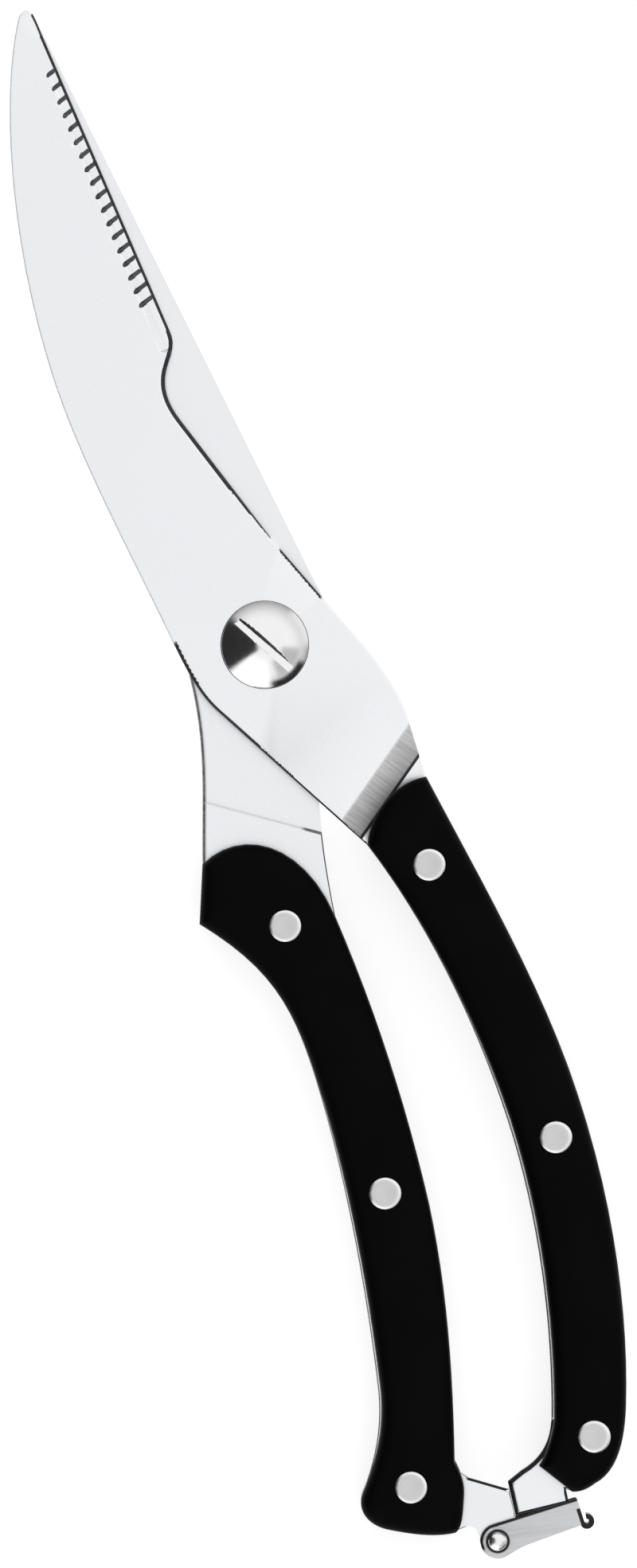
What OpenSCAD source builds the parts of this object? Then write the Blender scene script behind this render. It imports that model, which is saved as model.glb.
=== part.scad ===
// Poultry shears, closed and lying flat.
// The pivot axis is Z, the blades point along +Y, and Z = 0 is the flat rear face of the pivot nut.
// The serrated half is the upper one and crosses to the right handle; the plain half lies under it.

/* [Blades] */
// Thickness of each blade at the pivot
blade_thickness = 3.4; // [3.2:0.1:3.6]
// Running gap between the two blade faces
face_gap = 0.1; // [0.06:0.02:0.16]
// Thickness of each blade at its tip
tip_thickness = 1.3; // [1:0.1:1.8]
// Thickness of the tangs between the scales
tang_thickness = 3.2; // [3:0.1:3.3]
// Slope of the cutting bevels
bevel_angle = 40; // [36:1:50]
// Thickness left at a cutting edge
edge_thickness = 0.3; // [0.2:0.05:0.4]
// Number of grooves filed across the serrated bevel
groove_count = 18; // [6:1:18]
// Spacing of the grooves along the edge
groove_pitch = 2.33; // [1.8:0.01:2.4]
// Radius of each groove
groove_radius = 0.4; // [0.3:0.05:0.5]

/* [Pivot] */
// Diameter of the barrel that both blades turn on
barrel_d = 8; // [7.6:0.1:8.4]
// Diameter of the domed screw head
screw_head_d = 14.2; // [13:0.1:15]
// Radius of the dome on the screw head
dome_radius = 12; // [11:0.5:16]
// Width of the screwdriver slot
slot_width = 1.6; // [1:0.1:1.8]
// Direction of the slot from +X
slot_angle = 120; // [0:5:175]
// Diameter of the nut's flange
flange_d = 14; // [13:0.5:16]
// Height of the coned washer when fitted
washer_height = 0.75; // [0.6:0.05:0.9]

/* [Opening spring] */
// Diameter of the spring wire
wire_d = 1; // [0.8:0.05:1.1]
// Mean diameter of the coil
coil_d = 12.4; // [12:0.1:12.8]
// Full turns of the coil before the last part turn between the legs
coil_full_turns = 1; // [1:1:1]

/* [Handles] */
// Thickness over both scales
handle_thickness = 14; // [13:0.5:15]
// How far the tang stands out from the scales along the lower left sides
tang_reveal = 0.4; // [0:0.05:0.6]
// Diameter of the rivet heads
rivet_head_d = 5.4; // [5:0.1:5.8]
// Height of the rivet heads, sunk flush in the scales
rivet_head_h = 1.3; // [1:0.1:1.6]
// Diameter of a rivet's sleeve
sleeve_d = 3.8; // [3.4:0.1:4]
// Diameter of a rivet's stud
stud_d = 2.36; // [2:0.02:2.5]

/* [Latch] */
// Thickness of the latch's sheet
latch_sheet = 0.8; // [0.6:0.1:0.9]
// Gap between each latch cheek and the tabs
cheek_gap = 0.3; // [0.2:0.05:0.4]
// Diameter of the latch pin
latch_pin_d = 2.4; // [2:0.1:2.6]
// Diameter of the pin's riveted heads
latch_pin_head_d = 3.2; // [3:0.1:3.6]

/* [Hidden] */
SIDES = ["left", "right"];
RIVET_NUMBERS = [1, 2, 3];
RIVET_NODES = [for (side = SIDES) for (half = ["sleeve", "stud"]) for (i = RIVET_NUMBERS)
    str(side, "_handle_rivet_", half, "_", i)];
SCALE_NODES = [for (side = SIDES) for (face = ["top", "bottom"]) str(side, "_handle_", face, "_scale")];
PIVOT_NODES = ["pivot_screw", "pivot_nut", "pivot_washer", "opening_spring"];

$fn = 64;
curve_steps = 12;
reach = 300;

// Heights are given from the middle plane, where the two blade faces run on each other.
z_mid = handle_thickness / 2;
blade_inner = face_gap / 2;
blade_outer = blade_inner + blade_thickness;
tang_face = tang_thickness / 2;

// Each tang steps to the middle plane at a line this far from the pivot, square to this direction.
serrated_tang_angle = -53;
serrated_step = 25.9;
serrated_shoulder = 4.7;
plain_tang_angle = -123;
plain_step = 26.9;
plain_shoulder = 3.4;

// Distal taper, from just above the pivot to the tip
taper_start = 8;
blade_reach = 109.3;
taper_angle = atan((blade_thickness - tip_thickness) / (blade_reach - taper_start));

// Cutting edges, from heel to tip
serrated_heel = [1.05, 52.6];
serrated_tip = [-3.75, 104];
plain_heel = [-3.2, 18.5];
plain_tip = [-4.9, 107.5];
first_groove = 6.3;
groove_lean = 14;
groove_depth = groove_radius * 0.8;
bevel_runout = 2.4;

// Pivot
running_fit = 0.05;
key_width = 2;
key_reach = 5.1;
thread_r = 2.5;
thread_bottom = 2.5;
rim_height = 0.45;
slot_depth = 1.5;
screw_seat = blade_outer + running_fit;
recess_depth = 1.8;
recess_r = 7.5;
leg_slot_width = 1.4;
leg_slot_reach = 10.2;

// Rivet places, from the top of each handle to its heel
right_rivets = [[14.2, -41.7], [20, -89.5], [11, -137]];
left_rivets = [[-10.8, -43.9], [-8.8, -89.6], [-19.4, -135.7]];
rivet_fit = 0.05;

// Latch
latch_axis = [-8.9, -148.4];
boss_r = 2.3;
cheek_r = 2.8;
cheek_inner = tang_face + cheek_gap;
cheek_outer = cheek_inner + latch_sheet;
bridge_x = 5.3;
latch_top = -145.75;
curl_y = -149.8;
curl_inner = 0.4;

function bezier(a, b, c, d, t) =
    pow(1 - t, 3) * a + 3 * pow(1 - t, 2) * t * b + 3 * (1 - t) * t * t * c + t * t * t * d;

// A closed outline of stretches: [p] is a line to p, [b, c, p] a curve to p. It starts where it ends.
function stretch(a, s) = len(s) == 1 ? s
    : [for (i = [1 : curve_steps]) bezier(a, s[0], s[1], s[2], i / curve_steps)];
function end_of(s) = s[len(s) - 1];
function trace(parts) = [for (i = [0 : len(parts) - 1])
    each stretch(end_of(parts[(i + len(parts) - 1) % len(parts)]), parts[i])];
function arc(centre, r, from, to) = [for (i = [0 : curve_steps])
    let (a = from + (to - from) * i / curve_steps) [centre + r * [cos(a), sin(a)]]];
function unit(v) = v / norm(v);

// Sides of the handles, shared by tang and scale; e sets a side back from the tang's edge.
function right_inner_side(e) = [
    [[10.8, -50], [13.5 + e / 2, -67], [13.5 + e, -84.5]],
    [[13.5 + e, -101], [10.2 + e, -118], [5.4 + e, -132.4]]];
right_outer_side = [
    [[4.9, -144.4]],
    [[6.1, -144.9], [7.4, -144.8], [8.8, -144.3]],
    [[13, -143.6], [15.6, -139], [17.4, -134]],
    [[21.9, -121.5], [25.6, -104], [25.5, -84]],
    [[25.5, -66], [21.2, -46], [18.1, -28.1]]];
function left_outer_side(e) = [
    [[-23.8, -39.4]],
    [[-15.2, -49.5], [-13.8, -56], [-13.8 + e / 2, -68]],
    [[-14 + e, -88], [-17.6 + e, -109], [-19.6 + e, -119]],
    [[-20.9 + e, -125.2], [-23.4 + e, -129.6], [-27.2, -134.4]],
    [[-28.9, -136.6], [-27.9, -139.4], [-25.2, -141]],
    [[-22, -142.8], [-18.5, -144.6], [-15, -144.9]]];
left_inner_side = [
    [[-7.2, -120], [-4, -107], [-2.6, -93.4]],
    [[-1.3, -78], [-1.1, -62], [-2.7, -44.9]]];

serrated_outline = trace(concat(
    [[[-12.6, 98], [-18.9, 76], [-19.1, 52]],
    [[-19.2, 38], [-16.2, 22], [-13.9, 5]],
    [[-13.2, 0], [-12.6, -4], [-10.6, -7.6]],
    [[5.7, -35.6]]],
    right_inner_side(0),
    [[[3.9, -136.6], [1.2, -138.2], [-1.8, -138.9]],
    [[-4.4, -139.9]],
    [[-4.9, -145.45]],
    [[3.9, -146.1]],
    [[4.1, -143.9]]],
    right_outer_side,
    [[[18.2, -17.5]],
    [[18.2, -14.5], [17.3, -10.8], [15.2, -5.3]],
    [[6.3, 15.8]],
    [[-1.7, 38.4]],
    [[-2.9, 41.8], [-3, 44.6], [-1.1, 47.4]],
    [[0.3, 49.4], [1.25, 50.4], serrated_heel],
    [serrated_tip],
    [[-3.85, 105.3], [-3.9, 106.6], [-4.15, 107.8]],
    [[-4.4, 109], [-5.6, 109.2], [-6.5, 108]]]));

plain_outline = trace(concat(
    [[plain_heel],
    [[-3.6, 12.5], [-12.2, 12.5], [-13.1, -1.1]],
    [[-13.8, -12], [-17, -19.5], [-20.4, -30.4]]],
    left_outer_side(0),
    [[[-13.2, -144.7]],
    [[-11.8, -144.9], [-11.2, -146.4], latch_axis - [boss_r, 0]]],
    arc(latch_axis, boss_r, 180, 360),
    [[[-4.97, -145.5]],
    [[-4.58, -141.1]],
    [[-10.2, -137.3]],
    [[-11.4, -135.8]],
    [[-11.5, -134]]],
    left_inner_side,
    [[[-1.9, -38], [-0.9, -32], [0.6, -26.4]],
    [[6.5, -15.5], [12.8, -6], [11.2, 4.5]],
    [[-4.1, 108.2]],
    [plain_tip]]));

right_scale_outline = trace(concat(
    right_inner_side(tang_reveal),
    [[[4.6, -134.8], [3.2, -137], [1.2, -138.9]]],
    right_outer_side,
    [[[13.5, -27.4], [8.2, -30.2], [5.7, -35.6]]]));

left_scale_outline = trace(concat(
    left_outer_side(tang_reveal),
    [[[-13.9, -144.8], [-13, -142.8], [-12.4, -141.3]],
    [[-11.6, -139.2], [-10.7, -137.9], [-11.5, -134]]],
    left_inner_side,
    [[[-4, -31.5], [-13, -26.6], [-20.4, -30.4]]]));

cheek_outline = trace(concat(
    [[[-7.4, -145.64]]],
    arc(latch_axis, cheek_r, 84, 285),
    [[[-7.2, -150.9], [-6.2, -150.5], [-4.6, -150.4]],
    [[4.5, -150.1]],
    [[5, -150.1], [bridge_x, -149.9], [bridge_x, -149.5]],
    [[bridge_x, -146.15]],
    [[bridge_x, -145.9], [5.15, latch_top], [4.9, latch_top]]]));

// An outline as a slab between two heights
module slab(outline, low, high) {
    translate([0, 0, low]) linear_extrude(high - low) polygon(outline);
}

// A closed skin through rings of equally many points
module loft(rings) {
    n = len(rings[0]);
    last = len(rings) - 1;
    sides = [for (i = [0 : last - 1]) for (j = [0 : n - 1]) each
        [[i * n + j, i * n + n + j, i * n + n + (j + 1) % n],
        [i * n + j, i * n + n + (j + 1) % n, i * n + (j + 1) % n]]];
    caps = [[for (j = [0 : n - 1]) j], [for (j = [n - 1 : -1 : 0]) last * n + j]];
    polyhedron([for (ring = rings) each ring], concat(sides, caps));
}

// Takes the blank down to the tang's face over a sloping shoulder of the given width.
module shoulder_cut(width) {
    rotate([90, 0, 0]) linear_extrude(reach + 2, center = true)
        polygon([[0, blade_outer], [width, tang_face], [reach, tang_face], [reach, reach], [0, reach]]);
}

// Half of the shears as forged, as the upper half and from the middle plane
module forging(outline, tang_angle, step, shoulder) {
    difference() {
        slab(outline, -tang_face, blade_outer);
        rotate(tang_angle) translate([step, 0, 0]) {
            translate([-reach, -reach / 2, -reach]) cube([reach, reach, reach + blade_inner]);
            shoulder_cut(shoulder);
        }
        translate([-reach / 2, taper_start, blade_outer]) rotate([-taper_angle, 0, 0]) cube(reach);
    }
}

// Puts its children on a cutting edge: X runs from heel to tip, Y into the blade, Z up from the edge.
module on_edge(heel, tip, side) {
    translate([heel.x, heel.y, blade_inner + edge_thickness])
        rotate(atan2(tip.y - heel.y, tip.x - heel.x)) mirror([0, side < 0 ? 1 : 0, 0]) children();
}

// Everything above the cutting bevel; it starts with a ramp short of the heel.
module bevel_cut(edge_length) {
    tall = 6;
    difference() {
        translate([-bevel_runout, 0, 0]) rotate([90, 0, 90]) linear_extrude(edge_length + 2 * bevel_runout)
            polygon([[0, 0], [-tall, 0], [-tall, tall], [tall / tan(bevel_angle), tall]]);
        translate([-bevel_runout, -reach / 2, 0]) rotate([0, 45, 0]) translate([-reach, 0, -reach / 2])
            cube([reach, reach, reach]);
    }
}

// Grooves filed across the bevel, leaning back towards the heel
module grooves() {
    climb = atan(tan(bevel_angle) * cos(groove_lean));
    for (i = [0 : groove_count - 1])
        translate([first_groove + i * groove_pitch, 0, groove_radius - groove_depth])
            rotate([0, 90 - climb, 90 + groove_lean])
                translate([0, 0, -1.5]) cylinder(r = groove_radius, h = 7);
}

// Bore and spring recess, cut from the middle plane, with a slot for the spring's leg
module pivot_cut(bore_d, leg_angle) {
    translate([0, 0, -1]) cylinder(d = bore_d, h = blade_outer + 2);
    translate([0, 0, -1]) cylinder(r = recess_r, h = 1 + blade_inner + recess_depth);
    rotate(leg_angle) translate([coil_d / 2, -leg_slot_width / 2, -1])
        cube([leg_slot_reach - coil_d / 2, leg_slot_width, 1 + blade_inner + recess_depth]);
}

module at_rivets(side) {
    for (place = side == "left" ? left_rivets : right_rivets) translate([place.x, place.y, 0]) children();
}

module rivet_hole() {
    cylinder(d = sleeve_d + 2 * rivet_fit, h = reach, center = true);
}

module serrated_blade() {
    edge_length = norm(serrated_tip - serrated_heel);
    color("#dcdee2") translate([0, 0, z_mid]) difference() {
        forging(serrated_outline, serrated_tang_angle, serrated_step, serrated_shoulder);
        on_edge(serrated_heel, serrated_tip, 1) bevel_cut(edge_length + 2 * bevel_runout);
        on_edge(serrated_heel, serrated_tip, 1) grooves();
        pivot_cut(barrel_d + 2 * running_fit, serrated_tang_angle);
        at_rivets("right") rivet_hole();
    }
}

module plain_blade() {
    edge_length = norm(plain_tip - plain_heel);
    keyway = key_width + 2 * running_fit;
    color("#dcdee2") translate([0, 0, z_mid]) mirror([0, 0, 1]) difference() {
        forging(plain_outline, plain_tang_angle, plain_step, plain_shoulder);
        on_edge(plain_heel, plain_tip, -1) bevel_cut(edge_length + 2 * bevel_runout);
        pivot_cut(barrel_d + 2 * running_fit, plain_tang_angle);
        translate([-keyway / 2, 0, 0]) cube([keyway, key_reach + running_fit, blade_outer + 1]);
        at_rivets("left") rivet_hole();
        translate([latch_axis.x, latch_axis.y, 0])
            cylinder(d = latch_pin_d + running_fit, h = reach, center = true);
    }
}

// A handle scale from the middle plane up: flat on the tang, with holes for the rivets
module scale_slab(outline, side) {
    difference() {
        slab(outline, tang_face, z_mid);
        at_rivets(side) rivet_hole();
        at_rivets(side) translate([0, 0, z_mid - rivet_head_h])
            cylinder(d = rivet_head_d + rivet_fit, h = reach);
    }
}

module handle_scale(side, face) {
    outline = side == "left" ? left_scale_outline : right_scale_outline;
    color("#161616") translate([0, 0, z_mid]) mirror([0, 0, face == "top" ? 0 : 1])
        scale_slab(outline, side);
}

// Upper half of a rivet: the head and the sleeve that reaches down to the stud's head
module rivet_sleeve() {
    bottom = rivet_head_h + rivet_fit;
    bore_top = handle_thickness - 3;
    color("#c4c6c8") difference() {
        union() {
            translate([0, 0, handle_thickness - rivet_head_h]) cylinder(d = rivet_head_d, h = rivet_head_h);
            translate([0, 0, bottom]) cylinder(d = sleeve_d, h = handle_thickness - bottom - rivet_head_h / 2);
        }
        translate([0, 0, -1]) cylinder(d = stud_d + rivet_fit, h = bore_top + 1);
    }
}

// Lower half of a rivet: the head and the stud pressed into the sleeve
module rivet_stud() {
    color("#c4c6c8") {
        cylinder(d = rivet_head_d, h = rivet_head_h);
        cylinder(d = stud_d, h = handle_thickness - 4);
    }
}

module rivet(side, half, i) {
    place = (side == "left" ? left_rivets : right_rivets)[i - 1];
    translate([place.x, place.y, 0]) {
        if (half == "sleeve") rivet_sleeve();
        if (half == "stud") rivet_stud();
    }
}

// Slotted screw with a domed head; its shank stands in the nut's thread.
module pivot_screw() {
    head_r = screw_head_d / 2;
    seat = z_mid + screw_seat;
    dome_base = seat + rim_height;
    sphere_drop = sqrt(dome_radius * dome_radius - head_r * head_r);
    top = dome_base + dome_radius - sphere_drop;
    color("#e8e8ea") difference() {
        union() {
            translate([0, 0, thread_bottom + 0.5]) cylinder(r = thread_r - running_fit, h = seat - thread_bottom);
            intersection() {
                translate([0, 0, seat]) cylinder(r = head_r, h = top - seat);
                translate([0, 0, dome_base - sphere_drop]) sphere(r = dome_radius, $fn = 128);
            }
        }
        rotate(slot_angle) translate([-head_r - 1, -slot_width / 2, top - slot_depth])
            cube([2 * head_r + 2, slot_width, slot_depth + 1]);
    }
}

// Nut: a flange, the barrel that the blades turn on, and a key that holds it in the plain blade
module pivot_nut() {
    flange_h = z_mid - blade_outer - washer_height;
    chamfer = 0.5;
    flange_r = flange_d / 2;
    barrel_r = barrel_d / 2;
    key_top = z_mid - blade_inner - recess_depth - running_fit;
    color("#d0d2d6") difference() {
        union() {
            rotate_extrude() polygon([[0, 0], [flange_r - chamfer, 0], [flange_r, chamfer], [flange_r, flange_h],
                [barrel_r, flange_h], [barrel_r, z_mid + screw_seat], [0, z_mid + screw_seat]]);
            translate([-key_width / 2, 0, flange_h / 2]) cube([key_width, key_reach, key_top - flange_h / 2]);
        }
        translate([0, 0, thread_bottom]) cylinder(r = thread_r, h = reach);
    }
}

// Coned spring washer between the nut's flange and the plain blade
module pivot_washer() {
    inner = 5.4;
    outer = 6.8;
    sheet = 0.5;
    bottom = z_mid - blade_outer - washer_height;
    top = z_mid - blade_outer;
    color("#b8bcc2") rotate_extrude()
        polygon([[inner, top - sheet], [outer, bottom], [outer, bottom + sheet], [inner, top]]);
}

// Torsion spring: a leg in each blade's slot and a coil round the barrel between them
module opening_spring() {
    sides = 10;
    leg_end = 9.6;
    bend_r = 7.3;
    bend = 12;
    coil_r = coil_d / 2;
    low = -blade_inner - recess_depth + wire_d / 2 + 0.1;
    turn = 360 * coil_full_turns + 360 - (serrated_tang_angle - plain_tang_angle);
    steps = 52;
    // One point of the centre line, from its radius, its angle from the lower leg and its height
    function wire_point(r, angle, z) = [r * cos(plain_tang_angle - angle), r * sin(plain_tang_angle - angle), z];
    line = concat(
        [for (r = [leg_end, 8.4, bend_r]) wire_point(r, 0, low)],
        [wire_point((bend_r + coil_r) / 2 - 0.2, bend / 4, low)],
        [for (i = [0 : steps]) wire_point(coil_r, bend + (turn - 2 * bend) * i / steps, low - 2 * low * i / steps)],
        [wire_point((bend_r + coil_r) / 2 - 0.2, turn - bend / 4, -low)],
        [for (r = [bend_r, 8.4, leg_end]) wire_point(r, turn, -low)]);
    last = len(line) - 1;
    rings = [for (i = [0 : last])
        let (along = unit(line[min(i + 1, last)] - line[max(i - 1, 0)]),
            u = unit(cross([0, 0, 1], along)),
            v = cross(along, u))
        [for (k = [0 : sides - 1]) line[i] + wire_d / 2 * (cos(360 * k / sides) * u + sin(360 * k / sides) * v)]];
    color("#8f9499") translate([0, 0, z_mid]) loft(rings);
}

// Stirrup latch: two cheeks, a bridge across their ends, and a curled lip for the thumb
module latch() {
    curl_outer = curl_inner + latch_sheet;
    curl_x = bridge_x - latch_sheet + curl_outer;
    curl_end = 80;
    lip = concat(
        [for (a = [180 : 20 : 360 + curl_end]) [curl_x + curl_outer * cos(a), curl_y + curl_outer * sin(a)]],
        [for (a = [360 + curl_end : -20 : 180]) [curl_x + curl_inner * cos(a), curl_y + curl_inner * sin(a)]]);
    color("#b4b6b8") translate([0, 0, z_mid]) difference() {
        union() {
            slab(cheek_outline, cheek_inner, cheek_outer);
            slab(cheek_outline, -cheek_outer, -cheek_inner);
            translate([bridge_x - latch_sheet, curl_y, -cheek_outer])
                cube([latch_sheet, -0.4 - curl_y + latch_top, 2 * cheek_outer]);
            slab(lip, -cheek_outer, cheek_outer);
        }
        translate([latch_axis.x, latch_axis.y, 0])
            cylinder(d = latch_pin_d + 2 * running_fit, h = reach, center = true);
    }
}

// Pin through the cheeks and the left tab, headed over at both ends
module latch_pin() {
    head_h = 0.8;
    grip = cheek_outer + running_fit;
    color("#c8cacc") translate([latch_axis.x, latch_axis.y, z_mid]) {
        cylinder(d = latch_pin_d, h = 2 * grip + head_h, center = true);
        for (side = [0, 1]) mirror([0, 0, side]) translate([0, 0, grip])
            cylinder(d = latch_pin_head_d, h = head_h);
    }
}

serrated_blade();
plain_blade();
for (side = SIDES) for (face = ["top", "bottom"])
    handle_scale(side, face);
for (side = SIDES) for (half = ["sleeve", "stud"]) for (i = RIVET_NUMBERS)
    rivet(side, half, i);
pivot_screw();
pivot_nut();
pivot_washer();
opening_spring();
latch();
latch_pin();
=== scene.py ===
"""Looks of the poultry shears: ground steel blades, black riveted scales, a slotted pivot screw and a latch.

Outlines, widths and heights are in millimetres in the CAD's frame. Meshes are made in metres.
"""
import math

import bmesh
import bpy
import numpy as np
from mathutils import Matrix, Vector
from mathutils.geometry import delaunay_2d_cdt


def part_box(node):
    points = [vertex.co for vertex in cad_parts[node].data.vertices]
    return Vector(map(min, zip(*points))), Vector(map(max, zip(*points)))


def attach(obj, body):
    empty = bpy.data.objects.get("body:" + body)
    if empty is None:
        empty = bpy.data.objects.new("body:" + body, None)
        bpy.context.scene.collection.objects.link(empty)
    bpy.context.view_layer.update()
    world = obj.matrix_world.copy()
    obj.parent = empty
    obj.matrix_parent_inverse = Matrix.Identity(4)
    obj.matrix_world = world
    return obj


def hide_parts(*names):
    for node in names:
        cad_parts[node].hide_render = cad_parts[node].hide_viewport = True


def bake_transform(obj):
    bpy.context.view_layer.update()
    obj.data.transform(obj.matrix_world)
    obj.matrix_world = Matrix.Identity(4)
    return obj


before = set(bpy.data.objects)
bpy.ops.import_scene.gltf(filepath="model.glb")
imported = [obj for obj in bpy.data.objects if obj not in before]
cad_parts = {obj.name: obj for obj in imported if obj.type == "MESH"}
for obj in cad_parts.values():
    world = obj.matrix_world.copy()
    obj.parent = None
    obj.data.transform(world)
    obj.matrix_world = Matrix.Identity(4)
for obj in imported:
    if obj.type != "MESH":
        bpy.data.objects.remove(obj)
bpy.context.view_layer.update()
scene = bpy.context.scene

MM = 0.001
MIDDLE = 7.0 * MM
SIDES = ("left", "right")

# Each tang: its direction in degrees, how far out its step is, and how long the shoulder's slope is.
SERRATED_TANG = (-53, 25.9, 4.7)
PLAIN_TANG = (-123, 26.9, 3.4)
LATCH_AXIS = (-8.9, -148.4)


# ---- materials

class Graph:
    """Builds a node tree: a value that is a node output is linked, any other is set on the socket."""

    def __init__(self, tree):
        self.tree = tree
        tree.nodes.clear()

    def put(self, socket, value):
        if isinstance(value, bpy.types.NodeSocket):
            self.tree.links.new(value, socket)
        elif value is not None:
            socket.default_value = value

    def feed(self, node, inputs):
        for key, value in inputs.items():
            self.put(node.inputs[key], value)

    def node(self, kind, settings=None, inputs=None):
        made = self.tree.nodes.new(kind)
        for key, value in (settings or {}).items():
            setattr(made, key, value)
        self.feed(made, inputs or {})
        return made

    def math(self, operation, a, b=None):
        return self.node("ShaderNodeMath", {"operation": operation}, {0: a, 1: b}).outputs[0]

    def vector(self, operation, a, b=None):
        return self.node("ShaderNodeVectorMath", {"operation": operation}, {0: a, 1: b}).outputs

    def fold(self, operation, first, *others):
        """One operation over all the values in turn."""
        for other in others:
            first = self.math(operation, first, other)
        return first

    def ramp(self, value, low, high, out_low=0.0, out_high=1.0, smooth=True):
        kind = {"interpolation_type": "SMOOTHSTEP" if smooth else "LINEAR"}
        limits = {"From Min": low, "From Max": high, "To Min": out_low, "To Max": out_high}
        return self.node("ShaderNodeMapRange", kind, {"Value": value, **limits}).outputs["Result"]

    def fall(self, value, low, high):
        return self.ramp(value, low, high, 1.0, 0.0)

    def between(self, value, low, low_full, high_full, high):
        return self.math("MULTIPLY", self.ramp(value, low, low_full), self.fall(value, high_full, high))

    def mix(self, factor, a, b):
        return self.node("ShaderNodeMix", {"data_type": "RGBA"}, {"Factor": factor, 6: a, 7: b}).outputs[2]

    def coordinates(self):
        """Object coordinates, in metres."""
        return self.node("ShaderNodeTexCoord").outputs["Object"]

    def split(self, vector):
        return self.node("ShaderNodeSeparateXYZ", None, {0: vector}).outputs

    def dot(self, vector, direction):
        return self.vector("DOT_PRODUCT", vector, direction)["Value"]

    def axis_distance(self, source):
        """Distance from the object's own upright axis."""
        return self.vector("LENGTH", self.vector("MULTIPLY", source, (1, 1, 0))[0])["Value"]

    def place(self, rotation=0.0, scale=(1, 1, 1)):
        """Object coordinates turned about Z and stretched."""
        turned = self.node("ShaderNodeVectorRotate", {"rotation_type": "Z_AXIS"},
                           {"Vector": self.coordinates(), "Angle": rotation})
        return self.vector("MULTIPLY", turned.outputs[0], scale)[0]

    def noise(self, vector, scale, detail=2.0, roughness=0.5):
        inputs = {"Vector": vector, "Scale": scale, "Detail": detail, "Roughness": roughness}
        return self.node("ShaderNodeTexNoise", None, inputs).outputs["Fac"]

    def bump(self, height, distance, strength=1.0):
        inputs = {"Strength": strength, "Distance": distance, "Height": height}
        return self.node("ShaderNodeBump", None, inputs).outputs["Normal"]


def grey(value, tint=(1, 1, 1)):
    return (value * tint[0], value * tint[1], value * tint[2], 1)


def shades(base, spread, tint=(1, 1, 1)):
    """A darker and a lighter grey about a base."""
    return grey(base * (1 - spread), tint), grey(base * (1 + spread), tint)


def material(name):
    made = bpy.data.materials.new(name)
    made.use_nodes = True
    g = Graph(made.node_tree)
    shader = g.node("ShaderNodeBsdfPrincipled")
    g.node("ShaderNodeOutputMaterial", None, {0: shader.outputs[0]})
    return made, g, shader


def source_of(shader, socket):
    """What feeds a socket of the shader so far."""
    return shader.inputs[socket].links[0].from_socket


STEEL_TINT = (0.965, 0.975, 1.0)
# Noise per metre along each axis, once Y is turned across the strokes.
FINE_LINES = (60, 5200, 60)
BROAD_LINES = (25, 420, 25)
COARSE_STROKES = (120, 2600, 120)
GROUND_DEPTH, TURNED_DEPTH, FORGED_DEPTH, GRAIN_DEPTH = 0.3e-6, 0.6e-6, 4e-6, 6e-6


def ground_steel(name, base, roughness, degrees, contrast=0.035):
    """Steel ground with a belt: fine lines in one direction, with slow changes of tone under them."""
    made, g, shader = material(name)
    turn = math.radians(degrees)
    lines = g.noise(g.place(turn, FINE_LINES), 1.0, 3.0, 0.65)
    broad = g.noise(g.place(turn, BROAD_LINES), 1.0, 2.0, 0.5)
    cloud = g.noise(g.place(), 42.0, 3.0, 0.55)
    slow = g.math("ADD", g.math("MULTIPLY", broad, 0.3), g.math("MULTIPLY", cloud, 0.2))
    tone = g.math("ADD", g.math("MULTIPLY", lines, 0.5), slow)
    colour = g.mix(g.ramp(tone, 0.3, 0.7, smooth=False), *shades(base, contrast, STEEL_TINT))
    g.feed(shader, {"Base Color": colour, "Metallic": 1.0, "Normal": g.bump(lines, GROUND_DEPTH),
                    "Roughness": g.ramp(tone, 0.3, 0.7, roughness * 0.88, roughness * 1.15, smooth=False)})
    return made, g, shader


def turned_steel(name, base, roughness, pitch=0.12 * MM, fleck=0.04):
    """Steel with the fine rings that a lathe or a polishing wheel leaves round the piece's own axis."""
    made, g, shader = material(name)
    source = g.coordinates()
    wobble = g.math("MULTIPLY", g.noise(source, 900.0), 5)
    turns = g.math("MULTIPLY", g.axis_distance(source), 2 * math.pi / pitch)
    rings = g.math("MULTIPLY", g.math("SINE", g.math("ADD", turns, wobble)), 0.5)
    cloud = g.noise(source, 700.0, 3.0, 0.6)
    g.feed(shader, {"Base Color": g.mix(cloud, *shades(base, fleck)), "Metallic": 1.0,
                    "Roughness": g.ramp(cloud, 0.3, 0.7, roughness * 0.85, roughness * 1.2),
                    "Normal": g.bump(g.math("ADD", rings, cloud), TURNED_DEPTH)})
    return made, g, shader


def moulded_plastic(name):
    """Black moulded plastic: a fine spark-eroded grain, and handling that polishes it here and there."""
    made, g, shader = material(name)
    grain = g.noise(g.place(), 3200.0)
    wear = g.noise(g.place(), 70.0, 3.0, 0.6)
    g.feed(shader, {"Base Color": g.mix(wear, grey(0.0016), grey(0.0028, (1, 0.98, 1.02))),
                    "Roughness": g.ramp(wear, 0.35, 0.65, 0.5, 0.36), "Specular IOR Level": 0.03,
                    "Normal": g.bump(grain, GRAIN_DEPTH, 0.8)})
    return made


def dark_steel(name, base, roughness):
    """Dark steel with a cloudy tone: the spring wire's own colour, and the painted shade for the blades' dark
    edge lines, groove walls and flank line and for the screw's slot wall and rim.
    """
    made, g, shader = material(name)
    cloud = g.noise(g.place(), 1800.0, 3.0, 0.6)
    g.feed(shader, {"Base Color": g.mix(g.ramp(cloud, 0.35, 0.65), grey(base * 0.8), grey(base * 1.25)),
                    "Metallic": 1.0, "Roughness": g.ramp(cloud, 0.3, 0.7, roughness * 0.9, roughness * 1.1),
                    "Normal": g.bump(cloud, FORGED_DEPTH)})
    return made


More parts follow.
